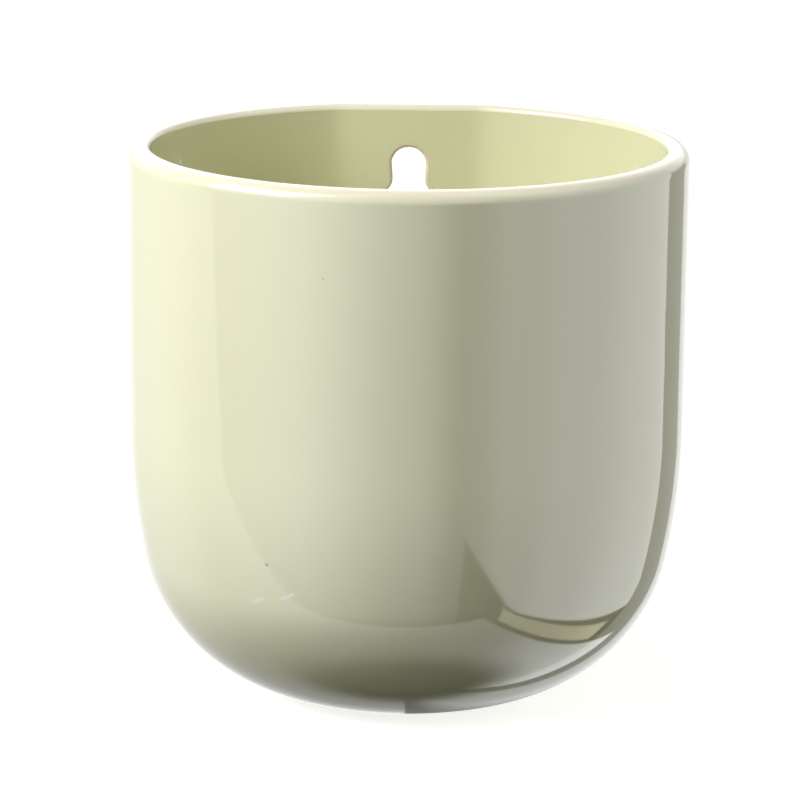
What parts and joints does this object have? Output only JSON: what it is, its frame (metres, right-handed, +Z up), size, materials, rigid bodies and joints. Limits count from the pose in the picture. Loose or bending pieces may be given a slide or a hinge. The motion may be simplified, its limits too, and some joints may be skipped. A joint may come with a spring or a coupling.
{
  "type": "wall planter",
  "caption": "Glazed ceramic wall pot with an oval plan, flat back, rounded lower corner, soft rim and a keyhole through the back wall for a screw.",
  "frame": {"origin": "under the middle of the part's bounding box, in the plane that the foot ring stands on", "axes": "+Z up, +Y out of the flat back towards the wall, -Y towards the viewer, +X to the viewer's right"},
  "size_m": [0.17, 0.1435, 0.1725],
  "materials": {
    "glaze": "gloss, pale cream-green glaze",
    "pad": "satin, milky soft plastic"
  },
  "bodies": {
    "root": {"ceramic_pot": "glaze", "wall_pad_left": "pad", "wall_pad_right": "pad"}
  },
  "joints": []
}
